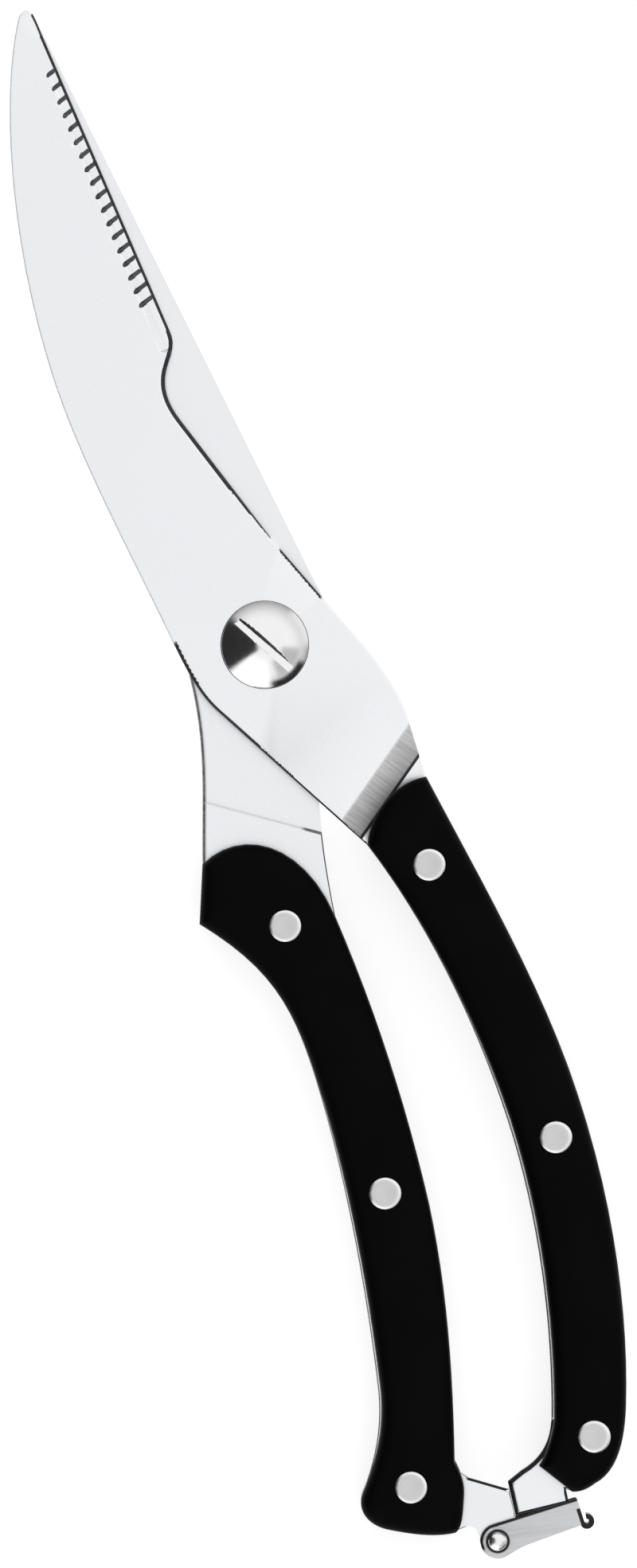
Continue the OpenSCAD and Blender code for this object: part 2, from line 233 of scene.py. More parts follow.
def forge_strokes_and_shade(g, shader, tang, up):
    """The shoulder's coarse strokes over a painted shading that darkens down its slope, a painted shadow line
    at the slope's foot, and a painted shadow line along the other face's step, darkest at its end.
    """
    turn, step, shoulder = math.radians(tang[0]), tang[1], tang[2]
    source = g.coordinates()
    height = g.math("MULTIPLY", g.math("SUBTRACT", g.split(source)["Z"], MIDDLE), up)
    s = g.math("SUBTRACT", g.dot(source, (math.cos(turn), math.sin(turn), 0)), step * MM)
    raised = g.ramp(height, 1.45 * MM, 1.55 * MM)
    top_to_foot = (0.1 * MM, 0.8 * MM, (shoulder - 0.05) * MM, shoulder * MM)
    slope = g.math("MULTIPLY", raised, g.between(s, *top_to_foot))
    strokes = g.noise(g.place(-turn, COARSE_STROKES), 1.0, 2.0, 0.6)
    # Painted shade: the slope's colour darkens from its top towards its foot, under the strokes.
    shade = g.ramp(s, 0.5 * MM, shoulder * MM, 0.66, 0.47, smooth=False)
    tone = g.math("MULTIPLY", shade, g.ramp(strokes, 0.3, 0.7, 0.8, 1.2, smooth=False))
    # Painted shadow line where the slope meets the tang's face.
    foot = [(shoulder + d) * MM for d in (-0.5, -0.32, 0.02, 0.14)]
    foot_shadow = g.math("MULTIPLY", raised, g.between(s, *foot))
    # Painted shadow along the other face's step: faint along it, dark at its far end.
    across = g.dot(source, (-math.sin(turn), math.cos(turn), 0))
    line = g.fold("MULTIPLY", g.fall(g.math("ABSOLUTE", s), 0.15 * MM, 0.3 * MM),
                  g.ramp(across, 13 * MM, 14.2 * MM, 0.12, 0.9), g.fall(height, 0.3 * MM, 0.6 * MM))
    shaded_strokes = g.node("ShaderNodeCombineColor", None, {0: tone, 1: tone, 2: tone}).outputs[0]
    colour = g.mix(slope, source_of(shader, "Base Color"), shaded_strokes)
    ground = source_of(shader, "Roughness")
    g.feed(shader, {"Base Color": g.mix(g.math("MAXIMUM", foot_shadow, line), colour, grey(0.03)),
                    "Metallic": g.math("SUBTRACT", 1.0, g.math("MULTIPLY", slope, 0.85)),
                    "Roughness": g.math("ADD", ground, g.math("MULTIPLY", slope, 0.3))})


LATCH_UP = (0.0089, 1.0, 0)
LATCH_EDGE = -145.7 * MM


def paint_latch_shade(g, shader):
    """Painted shade and painted dark reflection on the latch: a dark ring round the pin's head, a dark line
    along the sheet's upper edge, a dark band round the upper side of the cheek's rounded end, and the lip and
    its curl painted black.
    """
    source = g.coordinates()
    split = g.split(source)
    x = g.math("SUBTRACT", split["X"], LATCH_AXIS[0] * MM)
    y = g.math("SUBTRACT", split["Y"], LATCH_AXIS[1] * MM)
    radius = g.math("SQRT", g.math("ADD", g.math("MULTIPLY", x, x), g.math("MULTIPLY", y, y)))
    # Painted shade: each mask below is darkened to near black in the sheet's colour.
    ring = g.between(radius, 1.5 * MM, 1.62 * MM, 1.8 * MM, 2.1 * MM)
    upper = g.ramp(g.dot(source, LATCH_UP), LATCH_EDGE - 0.55 * MM, LATCH_EDGE - 0.35 * MM)
    heel = g.math("MULTIPLY", g.ramp(radius, 2.25 * MM, 2.45 * MM),
                  g.ramp(g.math("SUBTRACT", y, g.math("MULTIPLY", x, 0.9)), 1.2 * MM, 1.9 * MM))
    curl = g.math("MULTIPLY", g.ramp(split["X"], 4.6 * MM, 4.75 * MM),
                  g.fall(split["Y"], -147.5 * MM, -147.3 * MM))
    dark = g.fold("MAXIMUM", ring, upper, heel, g.ramp(split["X"], 5.36 * MM, 5.5 * MM), curl)
    g.put(shader.inputs["Base Color"], g.mix(dark, source_of(shader, "Base Color"), grey(0.025)))


def rivet_metal(name):
    """Rivet head: a dull struck face with a painted highlight, a lighter ring towards its rounded rim."""
    made, g, shader = turned_steel(name, 0.6, 0.3, pitch=0.3 * MM, fleck=0.1)
    # Painted highlight: the colour lightens towards the rim.
    rim = g.ramp(g.axis_distance(g.coordinates()), 1.9 * MM, 2.35 * MM)
    g.put(shader.inputs["Base Color"], g.mix(rim, source_of(shader, "Base Color"), grey(0.86)))
    return made


serrated_steel, graph, shader = ground_steel("serrated_blade_steel", 0.87, 0.27, 12)
forge_strokes_and_shade(graph, shader, SERRATED_TANG, 1)
plain_steel, graph, shader = ground_steel("plain_blade_steel", 0.855, 0.27, -82)
forge_strokes_and_shade(graph, shader, PLAIN_TANG, -1)
latch_steel, graph, shader = ground_steel("latch_sheet_steel", 0.6, 0.33, 10, contrast=0.12)
paint_latch_shade(graph, shader)
# Painted shade: dark lines along the blades' edges and walls, the latch tabs' edges and the screw's slot wall
# and rim.
edge_shade_steel = dark_steel("painted_edge_shade_steel", 0.05, 0.5)
# Painted shade on the grooves' floors and shaded walls.
groove_shade_steel = dark_steel("painted_groove_shade_steel", 0.09, 0.42)
# Painted shade: a grey line along the plain blade's left flank below the pivot.
flank_shade_steel = dark_steel("painted_flank_shade_steel", 0.42, 0.4)
spring_steel = dark_steel("spring_wire_steel", 0.3, 0.32)
screw_steel = turned_steel("polished_steel", 0.8, 0.12)[0]
nut_steel = turned_steel("turned_steel", 0.62, 0.26)[0]
washer_steel = turned_steel("spring_washer_steel", 0.45, 0.3)[0]
pin_steel = turned_steel("pin_steel", 0.8, 0.2)[0]
rivet_steel = rivet_metal("rivet_nickel")
plastic = moulded_plastic("handle_plastic_black")


# ---- mesh tools

def add_object(name, mesh, materials, body, node, centre=(0, 0, 0)):
    """Puts a mesh in the scene in place of a CAD node, on the node's own body."""
    made = bpy.data.objects.new(name, mesh)
    scene.collection.objects.link(made)
    made.location = centre
    for one in materials:
        mesh.materials.append(one)
    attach(made, body)
    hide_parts(node)
    return made


def mesh_of(bm, name, degrees):
    """The finished mesh, shaded smooth but for edges sharper than the angle."""
    bmesh.ops.recalc_face_normals(bm, faces=bm.faces)
    mesh = bpy.data.meshes.new(name)
    bm.to_mesh(mesh)
    bm.free()
    smooth(mesh, degrees)
    return mesh


def smooth(mesh, degrees):
    mesh.polygons.foreach_set("use_smooth", [True] * len(mesh.polygons))
    mesh.set_sharp_from_angle(angle=math.radians(degrees))
    mesh.update()


def add_points(bm, points, heights):
    """Vertices at points in mm and heights in metres."""
    return [bm.verts.new((p[0] * MM, p[1] * MM, z)) for p, z in zip(points, heights)]


def join_loops(bm, upper, lower):
    """A band of faces between two loops with as many vertices."""
    pairs = list(zip(upper, lower))
    return [bm.faces.new([a, b, d, c]) for (a, b), (c, d) in zip(pairs, pairs[1:] + pairs[:1])]


def cad_solid(node):
    """A CAD node's mesh with its seams closed and each flat face whole."""
    bm = bmesh.new()
    bm.from_mesh(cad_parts[node].data)
    bmesh.ops.remove_doubles(bm, verts=bm.verts, dist=2e-7)
    bmesh.ops.dissolve_limit(bm, angle_limit=math.radians(0.4), verts=bm.verts, edges=bm.edges)
    bmesh.ops.recalc_face_normals(bm, faces=bm.faces)
    return bm


def ring_loops(faces):
    """Closed chains of the edges round a set of faces, longest first."""
    inner = set(faces)
    edges = [e for f in inner for e in f.edges if sum(o in inner for o in e.link_faces) == 1]
    around = {}
    for e in edges:
        for v in e.verts:
            around.setdefault(v, []).append(e)
    loops, used = [], set()
    for start in edges:
        if start in used:
            continue
        used.add(start)
        loop = [start.verts[0], start.verts[1]]
        while True:
            step = next((e for e in around[loop[-1]] if e not in used), None)
            if step is None:
                break
            used.add(step)
            loop.append(step.other_vert(loop[-1]))
        loops.append(np.array([v.co[:2] for v in loop[:-1]]) / MM)
    return sorted(loops, key=lambda l: -np.linalg.norm(np.roll(l, -1, 0) - l, axis=1).sum())


def resample(loop, spacing):
    """The same closed outline, anticlockwise, with more points along it."""
    points = []
    for a, b in zip(loop, np.roll(loop, -1, 0)):
        count = max(1, int(round(np.linalg.norm(b - a) / spacing)))
        points += [a + (b - a) * i / count for i in range(count)]
    x, y = np.array(points).T
    clockwise = np.sum(x * np.roll(y, -1) - np.roll(x, -1) * y) < 0
    return np.array(points)[::-1 if clockwise else 1]


def by_parts(points, work, kind=float):
    """Does the work on some of the points at a time, so that its tables stay small."""
    size = 1500
    parts = [work(points[i:i + size]) for i in range(0, len(points), size)]
    return np.concatenate(parts) if parts else np.zeros(0, kind)


def foot_squares(points, loop):
    """Squared distance from each point to each side of a closed loop."""
    a = loop[None]
    along = np.roll(loop, -1, 0)[None] - a
    p = points[:, None]
    t = np.clip(np.sum((p - a) * along, 2) / np.maximum(np.sum(along * along, 2), 1e-18), 0, 1)
    return np.sum((p - (a + along * t[..., None])) ** 2, 2)


def distance_to(points, loop):
    return by_parts(points, lambda part: np.sqrt(np.min(foot_squares(part, loop), 1)))


def inside(points, loop):
    x1, y1 = loop.T[:, None]
    x2, y2 = np.roll(loop, -1, 0).T[:, None]

    def odd_crossings(part):
        x, y = part.T[:, :, None]
        crosses = (y1 > y) != (y2 > y)
        with np.errstate(divide="ignore", invalid="ignore"):
            at = x1 + (y - y1) * (x2 - x1) / (y2 - y1)
        return (np.sum(crosses & (x < at), 1) % 2) == 1

    return by_parts(points, odd_crossings, bool)


def nearest(points, outline):
    """Number of the outline point nearest to each point."""
    return by_parts(points, lambda part: np.argmin(np.sum((part[:, None] - outline[None]) ** 2, 2), 1), int)


def cut_outline(outline, direction, levels):
    """The outline with a point added wherever it crosses one of the levels along a direction."""
    points = []
    for p, q in zip(outline, np.roll(outline, -1, 0)):
        a, b = p @ direction, q @ direction
        points.append(p)
        between = [(level - a) / (b - a) for level in levels if (level - a) * (level - b) < 0]
        points += [p + (q - p) * t for t in sorted(between) if 1e-6 < t < 1 - 1e-6]
    return np.array(points)


def chords(outline, direction, levels, spacing):
    """Straight cuts across an outline at each level: the outline points at the ends and those between."""
    across = np.array([-direction[1], direction[0]])
    made = []
    for level in levels:
        at = [i for i in range(len(outline)) if abs(outline[i] @ direction - level) < 1e-7]
        at.sort(key=lambda i: outline[i] @ across)
        for a, b in zip(at, at[1:]):
            p, q = outline[a], outline[b]
            width = np.linalg.norm(q - p)
            if width > 0.3 and inside(np.array([(p + q) / 2]), outline)[0]:
                count = max(2, int(width / spacing))
                made.append((a, b, [p + (q - p) * i / count for i in range(1, count)]))
    return made


def twice_area(verts, triangles):
    a, b, c = (verts[triangles[:, i]] for i in range(3))
    return (b[:, 0] - a[:, 0]) * (c[:, 1] - a[:, 1]) - (b[:, 1] - a[:, 1]) * (c[:, 0] - a[:, 0])


def within(verts, triangles, outline, holes, loops):
    """The triangles between an outline and its holes: all that a sure one reaches without crossing a loop."""
    walls = {frozenset(pair) for loop in loops for pair in zip(loop, loop[1:] + loop[:1])}
    sides = [[frozenset(pair) for pair in zip(t, t[1:] + t[:1])] for t in triangles.tolist()]
    beside = {}
    for number, pairs in enumerate(sides):
        for pair in pairs:
            beside.setdefault(pair, []).append(number)
    centres = verts[triangles].mean(1)
    sure = inside(centres, outline)
    for hole in holes:
        sure &= ~inside(centres, hole)
    start = int(np.argmax(np.where(sure, np.abs(twice_area(verts, triangles)), -1)))
    reached, waiting = {start}, [start]
    while waiting:
        for pair in sides[waiting.pop()]:
            fresh = [] if pair in walls else [other for other in beside[pair] if other not in reached]
            reached.update(fresh)
            waiting += fresh
    return triangles[sorted(reached)]


def flat_triangles(outline, holes, rings=(), cuts=(), lines=(), loose=(), closed=(), part_rings=()):
    """Triangles between an outline and its holes, through rings set in from it, cuts that end on it, lines,
    loose points, closed lines and rings along a part of it."""
    points, edges = [], []

    def clear(candidates, gap):
        keep = inside(candidates, outline) & (distance_to(candidates, outline) > gap)
        for hole in holes:
            keep &= ~inside(candidates, hole) & (distance_to(candidates, hole) > 0.12)
        return keep

    def chain(candidates, keep, loop=False):
        numbers = np.full(len(candidates), -1)
        numbers[keep] = len(points) + np.arange(keep.sum())
        points.extend(candidates[keep])
        pairs = zip(numbers, np.roll(numbers, -1)) if loop else zip(numbers[:-1], numbers[1:])
        edges.extend((int(a), int(b)) for a, b in pairs if a >= 0 and b >= 0)

    borders = [outline] + list(holes)
    for loop in borders:
        chain(loop, np.full(len(loop), True), True)
    for a, b, between in cuts:
        numbers = [a] + [len(points) + i for i in range(len(between))] + [b]
        points += between
        edges += list(zip(numbers, numbers[1:]))
    for loop in closed:
        chain(loop, np.full(len(loop), True), True)
    along = np.roll(outline, -1, 0) - np.roll(outline, 1, 0)
    normal = np.stack([-along[:, 1], along[:, 0]], 1) / np.linalg.norm(along, axis=1)[:, None]
    for depth, part in [(depth, True) for depth in rings] + list(part_rings):
        ring = outline + normal * depth
        chain(ring, clear(ring, depth * 0.985) & part, True)
    margin = max(rings) if rings else 0
    for line in lines:
        chain(line, clear(line, margin + 0.1))
    if len(loose):
        points.extend(loose[clear(loose, margin + 0.05)])
    made = delaunay_2d_cdt([Vector(p) for p in points], edges, [], 0, 1e-6)
    verts = np.array([tuple(v) for v in made[0]])
    number_of = {old: new for new, olds in enumerate(made[3]) for old in olds}
    loops, first = [], 0
    for loop in borders:
        loops.append([number_of[first + i] for i in range(len(loop))])
        first += len(loop)
    triangles = within(verts, np.array([tuple(t) for t in made[2]]), outline, holes, loops)
    backward = twice_area(verts, triangles) < 0
    triangles[backward] = triangles[backward][:, ::-1]
    return verts, triangles, loops


def circle(centre, radius, count=48):
    turns = 2 * math.pi * np.arange(count) / count
    return np.stack([centre[0] + radius * np.cos(turns), centre[1] + radius * np.sin(turns)], 1)


# ---- handle scales

EDGE_ROUND = 1.7
ROUND_ANGLES = (22, 36, 50, 63, 76, 90)
CROWN, CROWN_WIDTH = 0.55, 6.5
CROWN_RINGS = [2.3, 3.1, 4.1, 5.2, 6.4]
SEAT_DEPTH = 1.3


def scale_height(distance):
    """How far the crowned and rounded face lies below its highest point."""
    d = np.minimum(distance, EDGE_ROUND)
    fillet = EDGE_ROUND - np.sqrt(np.maximum(EDGE_ROUND ** 2 - (EDGE_ROUND - d) ** 2, 0))
    crown = CROWN * (1 - np.minimum(distance, CROWN_WIDTH) / CROWN_WIDTH) ** 2
    return fillet + crown


def flat_face_loops(bm, z):
    """The loops round the flat faces of a CAD node at one height."""
    return ring_loops([f for f in bm.faces
                       if abs(f.normal.z) > 0.99 and abs(f.calc_center_median().z - z) < 1e-6])


def hole_circle(loop):
    middle = loop.mean(0)
    return circle(middle, np.linalg.norm(loop[0] - middle))


def handle_scale(side, face):
    """A scale with a crowned, rounded face, a flat back, and a stepped hole for each rivet."""
    node = f"{side}_handle_{face}_scale"
    low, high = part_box(node)
    sign = 1 if face == "top" else -1
    face_z, back_z = (high.z, low.z)[::sign]
    bm = cad_solid(node)
    face_loops, back_loops = flat_face_loops(bm, face_z), flat_face_loops(bm, back_z)
    bm.free()
    outline = resample(face_loops[0], 0.55)
    seats = [hole_circle(loop) for loop in face_loops[1:]]
    bores = [hole_circle(loop) for loop in back_loops[1:]]
    bores = [min(bores, key=lambda bore: np.linalg.norm(bore.mean(0) - seat.mean(0))) for seat in seats]
    rings = [EDGE_ROUND * (1 - math.cos(math.radians(a))) for a in ROUND_ANGLES] + CROWN_RINGS
    face_points, face_triangles, face_loops = flat_triangles(outline, seats, rings)
    back_points, back_triangles, back_loops = flat_triangles(outline, bores)

    bm = bmesh.new()
    depth = scale_height(distance_to(face_points, outline))
    front = add_points(bm, face_points, face_z - sign * depth * MM)
    back = add_points(bm, back_points, [back_z] * len(back_points))
    for t in face_triangles:
        bm.faces.new([front[i] for i in t])
    for t in back_triangles:
        bm.faces.new([back[i] for i in t[::-1]])
    seat_z = face_z - sign * SEAT_DEPTH * MM
    for number, (a, b) in enumerate(zip(face_loops, back_loops)):
        upper, lower = [front[i] for i in a], [back[i] for i in b]
        if number == 0:
            join_loops(bm, upper, lower)
            continue
        seat, bore = ([bm.verts.new((v.co.x, v.co.y, seat_z)) for v in loop] for loop in (upper, lower))
        for pair in ((upper, seat), (seat, bore), (bore, lower)):
            join_loops(bm, *pair)
    mesh = mesh_of(bm, node + "_moulded", 40)
    add_object(node + "_moulded", mesh, [plastic], f"{side}_half", node)


for side in SIDES:
    for face in ("top", "bottom"):
        handle_scale(side, face)


# ---- turned pieces

LATHE_SEGMENTS = 72


def lathe(name, profile, finish, body, node):
    """A turned piece about its node's upright axis, from (mm, metre) points that start and end on the axis."""
    bm = bmesh.new()
    turns = [2 * math.pi * i / LATHE_SEGMENTS for i in range(LATHE_SEGMENTS)]
    rings = [[bm.verts.new((r * MM * math.cos(a), r * MM * math.sin(a), z))
              for a in (turns if r else turns[:1])] for r, z in profile]
    for a, b in zip(rings, rings[1:]):
        for i in range(LATHE_SEGMENTS):
            j = (i + 1) % LATHE_SEGMENTS
            corners = [a[i % len(a)], a[j % len(a)], b[j % len(b)], b[i % len(b)]]
            corners = [v for n, v in enumerate(corners) if v not in corners[:n]]
            if len(corners) > 2:
                bm.faces.new(corners)
    low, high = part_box(node)
    centre = (*(low + high).xy / 2, 0)
    add_object(name, mesh_of(bm, name, 32), [finish], body, node, centre)


RIVET_DISH = [(0, 0.05), (0.8, 0.04), (1.5, 0.015)]
RIVET_ROUND = [(2.1, 0.0), (2.34, 0.03), (2.52, 0.1), (2.64, 0.22), (2.7, 0.38)]
RIVET_R, RIVET_HEAD = 2.7, 1.3
SLEEVE_R, SLEEVE_BORE_R, SLEEVE_BORE_END = 1.9, 1.205, 11.0
STUD_R, STUD_TIP_R, STUD_CHAMFER = 1.18, 0.9, 0.3


def rivet_head(z, sign):
    """A struck head from its dished middle to the back of its rim."""
    face = [(r, z - sign * depth * MM) for r, depth in RIVET_DISH + RIVET_ROUND]
    return face + [(RIVET_R, z - sign * RIVET_HEAD * MM)]


def handle_rivet(side, number):
    sleeve = f"{side}_handle_rivet_sleeve_{number}"
    low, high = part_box(sleeve)
    end = SLEEVE_BORE_END * MM
    profile = rivet_head(high.z, 1) + [(SLEEVE_R, high.z - RIVET_HEAD * MM), (SLEEVE_R, low.z),
                                       (SLEEVE_BORE_R, low.z), (SLEEVE_BORE_R, end), (0, end)]
    lathe(sleeve + "_struck", profile, rivet_steel, f"{side}_half", sleeve)
    stud = f"{side}_handle_rivet_stud_{number}"
    low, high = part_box(stud)
    profile = rivet_head(low.z, -1) + [(STUD_R, low.z + RIVET_HEAD * MM), (STUD_R, high.z - STUD_CHAMFER * MM),
                                       (STUD_TIP_R, high.z), (0, high.z)]
    lathe(stud + "_struck", profile, rivet_steel, f"{side}_half", stud)


for side in SIDES:
    for number in (1, 2, 3):
        handle_rivet(side, number)


# ---- pivot screw

SCREW_R, DOME_R = 7.1, 12.0
RIM_ROUND, RIM_SHADE = 0.3, 0.1
HEAD_EDGE, SHANK_R, SHANK_END_R = 0.45, 2.45, 2.2
SLOT_ANGLE = math.radians(120)
SLOT_DEPTH, SLOT_FLOOR, SLOT_SLOPE = 1.5, (-0.7, 0.38), 0.58
SLOT_WALL, SLOT_BLEND = 0.07, 0.05
SLOT_LINES = [-0.98, -0.88, -0.82, -0.77, -0.74, -0.7, -0.3, 0.02, 0.1, 0.18, 0.26, 0.32, 0.38, 0.46, 0.54,
              0.62, 0.7, 0.78, 0.84, 0.9, 1.0]


def pivot_screw():
    """The head is a height field over a disc: a dome with a soft rim, cut by a slot with soft edges."""
    low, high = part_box("pivot_screw")
    top, bottom = high.z / MM, low.z / MM
    dome_centre = top - DOME_R
    along = np.array([math.cos(SLOT_ANGLE), math.sin(SLOT_ANGLE)])
    across = np.array([along[1], -along[0]])

    def dome(p):
        return dome_centre + np.sqrt(np.maximum(DOME_R ** 2 - np.sum(p ** 2, 1), 0))

    outline = circle((0, 0), SCREW_R, 144)
    steps = np.linspace(-6.7, 6.7, 100)[:, None]
    lines = [along * steps + across * offset for offset in SLOT_LINES]
    loose = np.concatenate([circle((0, 0), r, 72) for r in np.arange(0.3, 6.3, 0.3)])
    loose = loose[np.abs(loose @ across) > 1.1]
    rings = [0.03, 0.06, RIM_SHADE, 0.18, 0.3, 0.45, 0.8]
    points, triangles, loops = flat_triangles(outline, [], rings, lines=lines, loose=loose)
    from_rim = np.clip(SCREW_R - np.linalg.norm(points, axis=1), 0, RIM_ROUND)
    fillet = RIM_ROUND - np.sqrt(np.maximum(RIM_ROUND ** 2 - (RIM_ROUND - from_rim) ** 2, 0))
    head = dome(points) - fillet * 0.8
    offset = points @ across
    far_wall = np.clip((offset - SLOT_FLOOR[1]) / SLOT_SLOPE, 0, 1) ** 1.1 * 1.9
    near_wall = np.clip((SLOT_FLOOR[0] - offset) / SLOT_WALL, 0, 1) * 2.4
    slot = top - SLOT_DEPTH + np.maximum(far_wall, near_wall)
    share = np.clip(0.5 + 0.5 * (slot - head) / SLOT_BLEND, 0, 1)
    height = slot * (1 - share) + head * share - SLOT_BLEND * share * (1 - share)

    bm = bmesh.new()
    verts = add_points(bm, points, height * MM)
    # Painted shade: a strip along the slot's far wall and a thin ring at the rim take the dark edge steel.
    centres = points[triangles].mean(1)
    offset = centres @ across
    dark = (offset > 0.34 - 0.03 * (centres @ along)) & (offset < 0.98)
    dark &= height[triangles].mean(1) < dome(centres) - 0.04
    dark |= np.linalg.norm(centres, axis=1) > SCREW_R - RIM_SHADE
    for t, is_dark in zip(triangles, dark):
        bm.faces.new([verts[i] for i in t]).material_index = int(is_dark)
    seat = dome_centre + math.sqrt(DOME_R ** 2 - SCREW_R ** 2) - HEAD_EDGE
    ring = [verts[i] for i in loops[0]]
    for r, z in [(SCREW_R, seat + 0.1), (SCREW_R - 0.1, seat), (SHANK_R, seat), (SHANK_R, bottom + 0.3),
                 (SHANK_END_R, bottom)]:
        flat = np.array([v.co.xy.normalized() for v in ring])
        lower = add_points(bm, flat * r, [z * MM] * len(ring))
        join_loops(bm, ring, lower)
        ring = lower
    bm.faces.new(ring[::-1])
    name = "pivot_screw_polished"
    finishes = [screw_steel, edge_shade_steel]
    add_object(name, mesh_of(bm, name, 50), finishes, "left_half", "pivot_screw")


pivot_screw()


# ---- blades

BLADE_INNER, BLADE_OUTER, TANG_FACE = 0.05, 3.45, 1.6
TAPER_START, TAPER_SLOPE = 8.0, 2.1 / 101.3
SHOULDER_ROUND = 0.7
EDGE_THICKNESS = 0.3
BEVEL_BASE = BLADE_INNER + EDGE_THICKNESS
BEVEL_SLOPE = math.tan(math.radians(40))
BEVEL_RUNOUT = 2.4
GROOVE_COUNT, FIRST_GROOVE, GROOVE_PITCH = 18, 6.3, 2.33
GROOVE_R, GROOVE_DEPTH = 0.42, 0.34
GROOVE_LEAN, GROOVE_TILT = math.tan(math.radians(14)), math.radians(38)
GROOVE_COLUMN = GROOVE_PITCH / 22
RECESS_SHAPE, RECESS_DEPTH = (7.5, 0.7, 10.2), 1.8
RIVET_BORE_R = 1.95
CURVE_STEPS = 16
WALL, STEP_WALL = 0.012, 0.07


def bezier(a, b, c, d, t):
    return (1 - t) ** 3 * a + 3 * (1 - t) ** 2 * t * b + 3 * (1 - t) * t * t * c + t ** 3 * d


def trace(stretches):
    """A closed outline of stretches, as in the CAD: one point for a line, three for a curve."""
    points, labels = [], []
    at = np.array(stretches[-1][0][-1], float)
    for stretch, label in stretches:
        ends = [np.array(p, float) for p in stretch]
        count = 1 if len(ends) == 1 else CURVE_STEPS
        points += [ends[0] if count == 1 else bezier(at, *ends, i / count) for i in range(1, count + 1)]
        labels += [label] * count
        at = ends[-1]
    return np.array(points), labels


def run(*stretches, label="steel"):
    return [(list(s), label) for s in stretches]


RIGHT_INNER = run([(10.8, -50), (13.5, -67), (13.5, -84.5)], [(13.5, -101), (10.2, -118), (5.4, -132.4)])
RIGHT_OUTER = run(
    [(4.9, -144.4)], [(6.1, -144.9), (7.4, -144.8), (8.8, -144.3)],
    [(13, -143.6), (15.6, -139), (17.4, -134)], [(21.9, -121.5), (25.6, -104), (25.5, -84)],
    [(25.5, -66), (21.2, -46), (18.1, -28.1)])
LEFT_OUTER = run(
    [(-23.8, -39.4)], [(-15.2, -49.5), (-13.8, -56), (-13.8, -68)],
    [(-14, -88), (-17.6, -109), (-19.6, -119)], [(-20.9, -125.2), (-23.4, -129.6), (-27.2, -134.4)],
    [(-28.9, -136.6), (-27.9, -139.4), (-25.2, -141)], [(-22, -142.8), (-18.5, -144.6), (-15, -144.9)])
LEFT_INNER = run([(-7.2, -120), (-4, -107), (-2.6, -93.4)], [(-1.3, -78), (-1.1, -62), (-2.7, -44.9)])
LATCH_BOSS = run(*[[point] for point in circle(LATCH_AXIS, 2.3, 24)[13:]], [(-6.6, -148.4)])
SERRATED_HEEL, SERRATED_TIP = (1.05, 52.6), (-3.75, 104)
PLAIN_HEEL, PLAIN_TIP = (-3.2, 18.5), (-4.9, 107.5)

SERRATED = (
    run([(-12.6, 98), (-18.9, 76), (-19.1, 52)], [(-19.2, 38), (-16.2, 22), (-13.9, 5)], label="spine")
    + run([(-13.2, 0), (-12.6, -4), (-10.6, -7.6)], [(5.7, -35.6)], label="crossing")
    + RIGHT_INNER
    + run([(3.9, -136.6), (1.2, -138.2), (-1.8, -138.9)], [(-4.4, -139.9)], [(-4.9, -145.45)], label="tab")
    + run([(3.9, -146.1)], [(4.1, -143.9)], label="hook")
    + RIGHT_OUTER
    + run([(18.2, -17.5)], [(18.2, -14.5), (17.3, -10.8), (15.2, -5.3)], [(11, 4.66)])
    + run([(7.2, 13.66)], label="emerging")
    + run([(6.3, 15.8)])
    + run([(-1.7, 38.4)], label="front")
    + run([(-2.9, 41.8), (-3, 44.6), (-1.1, 47.4)], [(0.3, 49.4), (1.25, 50.4), SERRATED_HEEL], label="notch")
    + run([SERRATED_TIP], label="cutting")
    + run([(-3.85, 105.3), (-3.9, 106.6), (-4.15, 107.8)], label="tip")
    + run([(-4.4, 109), (-5.6, 109.2), (-6.5, 108)], label="spine"))

PLAIN = (
    run([PLAIN_HEEL], label="cutting")
    + run([(-3.6, 12.5), (-12.2, 12.5), (-13.1, -1.1)], label="flank")
    + run([(-13.8, -12), (-17, -19.5), (-20.4, -30.4)], label="flank")
    + LEFT_OUTER
    + run([(-13.2, -144.7)], [(-11.8, -144.9), (-11.2, -146.4), (-11.2, -148.4)])
    + LATCH_BOSS
    + run([(-4.97, -145.5)], [(-4.58, -141.1)])
    + run([(-10.2, -137.3)], label="tab")
    + run([(-11.4, -135.8)], [(-11.5, -134)])
    + LEFT_INNER
    + run([(-1.9, -38), (-0.9, -32), (0.6, -26.4)])
    + run([(6.5, -15.5), (12.8, -6), (11.2, 4.5)], [(-4.1, 108.2)], label="rear")
    + run([PLAIN_TIP], label="tip"))


def tapered(p):
    """Height of a blade's flat outer face over the middle plane."""
    return BLADE_OUTER - np.maximum(p[..., 1] - TAPER_START, 0) * TAPER_SLOPE


